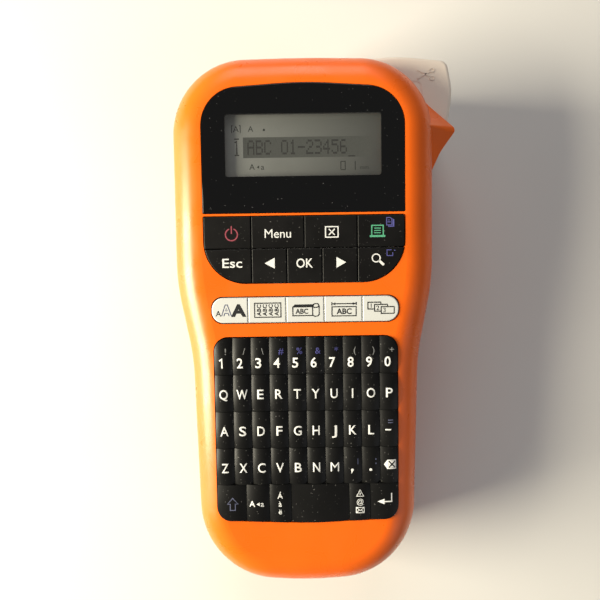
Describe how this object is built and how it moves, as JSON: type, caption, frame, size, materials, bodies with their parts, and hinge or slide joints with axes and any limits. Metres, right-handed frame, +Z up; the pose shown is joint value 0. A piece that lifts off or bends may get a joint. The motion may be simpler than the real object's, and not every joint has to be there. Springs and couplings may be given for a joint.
{
  "type": "handheld label maker",
  "caption": "Handheld keypad label printer with a display, cutter lever, tape cassette, gear-driven platen and removable back cover.",
  "frame": {"origin": "on the resting plane of the back, under the middle of the body's length and width", "axes": "+X to the right as seen by the person using the keypad, +Y towards the display end, +Z up out of the keypad"},
  "size_m": [0.1085, 0.2056, 0.0582],
  "materials": {
    "case_orange": "satin moulded",
    "key_black": "satin",
    "key_white": "satin",
    "keypad_rubber": "soft satin",
    "panel_black": "gloss",
    "window_clear": "clear",
    "lcd_grey": "grey-green display",
    "inner_black": "moulded",
    "board_green": "solder mask",
    "chip_black": "moulded",
    "membrane_grey": "soft",
    "steel": "brushed",
    "head_ceramic": "satin",
    "cassette_grey": "moulded",
    "tape_white": "satin",
    "cell_wrap": "printed wrap",
    "contact_steel": "plated",
    "spring_steel": "drawn wire",
    "lever_cream": "satin",
    "gear_plastic": "moulded",
    "brass": "cut",
    "platen_rubber": "ground",
    "ribbon_black": "film"
  },
  "bodies": {
    "case": {"front_case": "case_orange", "rear_case": "case_orange", "display_panel": "panel_black", "display_window": "window_clear", "lcd_glass": "lcd_grey", "lcd_holder": "inner_black", "main_board": "board_green", "board_components": "chip_black", "key_mat": "membrane_grey", "mechanism_frame": "inner_black", "platen_holder": "steel", "print_head": "head_ceramic", "drive_motor": "steel", "cassette_lower": "cassette_grey", "cassette_upper": "cassette_grey", "label_tape": "tape_white", "battery_cells": "cell_wrap", "battery_contacts": "contact_steel", "dc_inlet": "chip_black", "case_screws": "steel", "cutter_pin": "steel", "cutter_anvil": "steel", "cutter_spring": "spring_steel"},
    "lever": {"cutter_lever": "lever_cream", "cutter_blade": "steel"},
    "first_gear": {"first_gear": "gear_plastic"},
    "second_gear": {"second_gear": "gear_plastic"},
    "motor_rotor": {"motor_pinion": "brass"},
    "platen": {"platen_roller": "platen_rubber", "platen_gear": "gear_plastic"},
    "ribbon_drive": {"ribbon_drive": "gear_plastic", "ribbon_takeup": "ribbon_black"},
    "tape_spool": {"tape_spool": "tape_white"},
    "ribbon_supply": {"ribbon_supply": "ribbon_black"},
    "back_cover": {"back_cover": "case_orange"},
    "power_key": {"power_key": "key_black"},
    "menu_key": {"menu_key": "key_black"},
    "clear_key": {"clear_key": "key_black"},
    "print_key": {"print_key": "key_black"},
    "escape_key": {"escape_key": "key_black"},
    "left_key": {"left_key": "key_black"},
    "ok_key": {"ok_key": "key_black"},
    "right_key": {"right_key": "key_black"},
    "find_key": {"find_key": "key_black"},
    "font_key": {"font_key": "key_white"},
    "cable_wrap_key": {"cable_wrap_key": "key_white"},
    "cable_flag_key": {"cable_flag_key": "key_white"},
    "length_key": {"length_key": "key_white"},
    "serial_key": {"serial_key": "key_white"},
    "number_keys": {"number_keys": "keypad_rubber"},
    "upper_letter_keys": {"upper_letter_keys": "keypad_rubber"},
    "home_letter_keys": {"home_letter_keys": "keypad_rubber"},
    "lower_letter_keys": {"lower_letter_keys": "keypad_rubber"},
    "shift_key": {"shift_key": "keypad_rubber"},
    "caps_key": {"caps_key": "keypad_rubber"},
    "accent_key": {"accent_key": "keypad_rubber"},
    "space_key": {"space_key": "keypad_rubber"},
    "symbol_key": {"symbol_key": "keypad_rubber"},
    "enter_key": {"enter_key": "keypad_rubber"}
  },
  "joints": [
    {"name": "first_gear_turn", "type": "hinge", "parent": "case", "child": "first_gear", "pos_m": [-0.00298, 0.07323, 0.0247], "axis": [0, 0, 1], "continuous": true},
    {"name": "second_gear_turn", "type": "hinge", "parent": "case", "child": "second_gear", "pos_m": [0.012, 0.0739, 0.0285], "axis": [0, 0, 1], "continuous": true},
    {"name": "motor_turn", "type": "hinge", "parent": "case", "child": "motor_rotor", "pos_m": [-0.008, 0.088, 0.0244], "axis": [0, 0, 1], "continuous": true},
    {"name": "platen_turn", "type": "hinge", "parent": "case", "child": "platen", "pos_m": [0.02701, 0.08, 0.0117], "axis": [0, 0, 1], "continuous": true},
    {"name": "ribbon_drive_turn", "type": "hinge", "parent": "case", "child": "ribbon_drive", "pos_m": [0.021, 0.05831, 0.0115], "axis": [0, 0, 1], "continuous": true},
    {"name": "tape_spool_turn", "type": "hinge", "parent": "case", "child": "tape_spool", "pos_m": [-0.016, 0.046, 0.0115], "axis": [0, 0, 1], "continuous": true},
    {"name": "ribbon_supply_turn", "type": "hinge", "parent": "case", "child": "ribbon_supply", "pos_m": [0.016, 0.034, 0.0115], "axis": [0, 0, 1], "continuous": true},
    {"name": "lever_press", "type": "hinge", "parent": "case", "child": "lever", "pos_m": [0.018, 0.0945, 0.024], "axis": [0, 0, -1], "range_deg": [0, 6.5], "stiffness_Nm_per_rad": 1.5, "springref_deg": -4.58},
    {"name": "power_key_press", "type": "slide", "parent": "case", "child": "power_key", "axis": [0, 0.0523, -0.9986], "range_m": [0, 0.0008], "stiffness_N_per_m": 500, "springref_m": -0.0006},
    {"name": "menu_key_press", "type": "slide", "parent": "case", "child": "menu_key", "axis": [0, 0.0523, -0.9986], "range_m": [0, 0.0008], "stiffness_N_per_m": 500, "springref_m": -0.0006},
    {"name": "clear_key_press", "type": "slide", "parent": "case", "child": "clear_key", "axis": [0, 0.0523, -0.9986], "range_m": [0, 0.0008], "stiffness_N_per_m": 500, "springref_m": -0.0006},
    {"name": "print_key_press", "type": "slide", "parent": "case", "child": "print_key", "axis": [0, 0.0523, -0.9986], "range_m": [0, 0.0008], "stiffness_N_per_m": 500, "springref_m": -0.0006},
    {"name": "escape_key_press", "type": "slide", "parent": "case", "child": "escape_key", "axis": [0, 0.0523, -0.9986], "range_m": [0, 0.0008], "stiffness_N_per_m": 500, "springref_m": -0.0006},
    {"name": "left_key_press", "type": "slide", "parent": "case", "child": "left_key", "axis": [0, 0.0523, -0.9986], "range_m": [0, 0.0008], "stiffness_N_per_m": 500, "springref_m": -0.0006},
    {"name": "ok_key_press", "type": "slide", "parent": "case", "child": "ok_key", "axis": [0, 0.0523, -0.9986], "range_m": [0, 0.0008], "stiffness_N_per_m": 500, "springref_m": -0.0006},
    {"name": "right_key_press", "type": "slide", "parent": "case", "child": "right_key", "axis": [0, 0.0523, -0.9986], "range_m": [0, 0.0008], "stiffness_N_per_m": 500, "springref_m": -0.0006},
    {"name": "find_key_press", "type": "slide", "parent": "case", "child": "find_key", "axis": [0, 0.0523, -0.9986], "range_m": [0, 0.0008], "stiffness_N_per_m": 500, "springref_m": -0.0006},
    {"name": "font_key_press", "type": "slide", "parent": "case", "child": "font_key", "axis": [0, 0.0523, -0.9986], "range_m": [0, 0.0008], "stiffness_N_per_m": 500, "springref_m": -0.0006},
    {"name": "cable_wrap_key_press", "type": "slide", "parent": "case", "child": "cable_wrap_key", "axis": [0, 0.0523, -0.9986], "range_m": [0, 0.0008], "stiffness_N_per_m": 500, "springref_m": -0.0006},
    {"name": "cable_flag_key_press", "type": "slide", "parent": "case", "child": "cable_flag_key", "axis": [0, 0.0523, -0.9986], "range_m": [0, 0.0008], "stiffness_N_per_m": 500, "springref_m": -0.0006},
    {"name": "length_key_press", "type": "slide", "parent": "case", "child": "length_key", "axis": [0, 0.0523, -0.9986], "range_m": [0, 0.0008], "stiffness_N_per_m": 500, "springref_m": -0.0006},
    {"name": "serial_key_press", "type": "slide", "parent": "case", "child": "serial_key", "axis": [0, 0.0523, -0.9986], "range_m": [0, 0.0008], "stiffness_N_per_m": 500, "springref_m": -0.0006},
    {"name": "number_keys_press", "type": "slide", "parent": "case", "child": "number_keys", "axis": [0, 0.0523, -0.9986], "range_m": [0, 0.0008], "stiffness_N_per_m": 800, "springref_m": -0.0006},
    {"name": "upper_letter_keys_press", "type": "slide", "parent": "case", "child": "upper_letter_keys", "axis": [0, 0.0523, -0.9986], "range_m": [0, 0.0008], "stiffness_N_per_m": 800, "springref_m": -0.0006},
    {"name": "home_letter_keys_press", "type": "slide", "parent": "case", "child": "home_letter_keys", "axis": [0, 0.0523, -0.9986], "range_m": [0, 0.0008], "stiffness_N_per_m": 800, "springref_m": -0.0006},
    {"name": "lower_letter_keys_press", "type": "slide", "parent": "case", "child": "lower_letter_keys", "axis": [0, 0.0523, -0.9986], "range_m": [0, 0.0008], "stiffness_N_per_m": 800, "springref_m": -0.0006},
    {"name": "shift_key_press", "type": "slide", "parent": "case", "child": "shift_key", "axis": [0, 0.0523, -0.9986], "range_m": [0, 0.0008], "stiffness_N_per_m": 500, "springref_m": -0.0006},
    {"name": "caps_key_press", "type": "slide", "parent": "case", "child": "caps_key", "axis": [0, 0.0523, -0.9986], "range_m": [0, 0.0008], "stiffness_N_per_m": 500, "springref_m": -0.0006},
    {"name": "accent_key_press", "type": "slide", "parent": "case", "child": "accent_key", "axis": [0, 0.0523, -0.9986], "range_m": [0, 0.0008], "stiffness_N_per_m": 500, "springref_m": -0.0006},
    {"name": "space_key_press", "type": "slide", "parent": "case", "child": "space_key", "axis": [0, 0.0523, -0.9986], "range_m": [0, 0.0008], "stiffness_N_per_m": 500, "springref_m": -0.0006},
    {"name": "symbol_key_press", "type": "slide", "parent": "case", "child": "symbol_key", "axis": [0, 0.0523, -0.9986], "range_m": [0, 0.0008], "stiffness_N_per_m": 500, "springref_m": -0.0006},
    {"name": "enter_key_press", "type": "slide", "parent": "case", "child": "enter_key", "axis": [0, 0.0523, -0.9986], "range_m": [0, 0.0008], "stiffness_N_per_m": 500, "springref_m": -0.0006},
    {"name": "back_cover_off", "type": "slide", "parent": "case", "child": "back_cover", "axis": [0, 0, -1], "range_m": [0, 0.03]}
  ],
  "couplings": [
    {"joint": "second_gear_turn", "follows": "first_gear_turn", "ratio": -0.38889},
    {"joint": "motor_turn", "follows": "first_gear_turn", "ratio": -3.3333},
    {"joint": "platen_turn", "follows": "first_gear_turn", "ratio": 0.77778},
    {"joint": "ribbon_drive_turn", "follows": "first_gear_turn", "ratio": 0.58333},
    {"joint": "tape_spool_turn", "follows": "first_gear_turn", "ratio": -0.15556},
    {"joint": "ribbon_supply_turn", "follows": "first_gear_turn", "ratio": 0.48039}
  ]
}
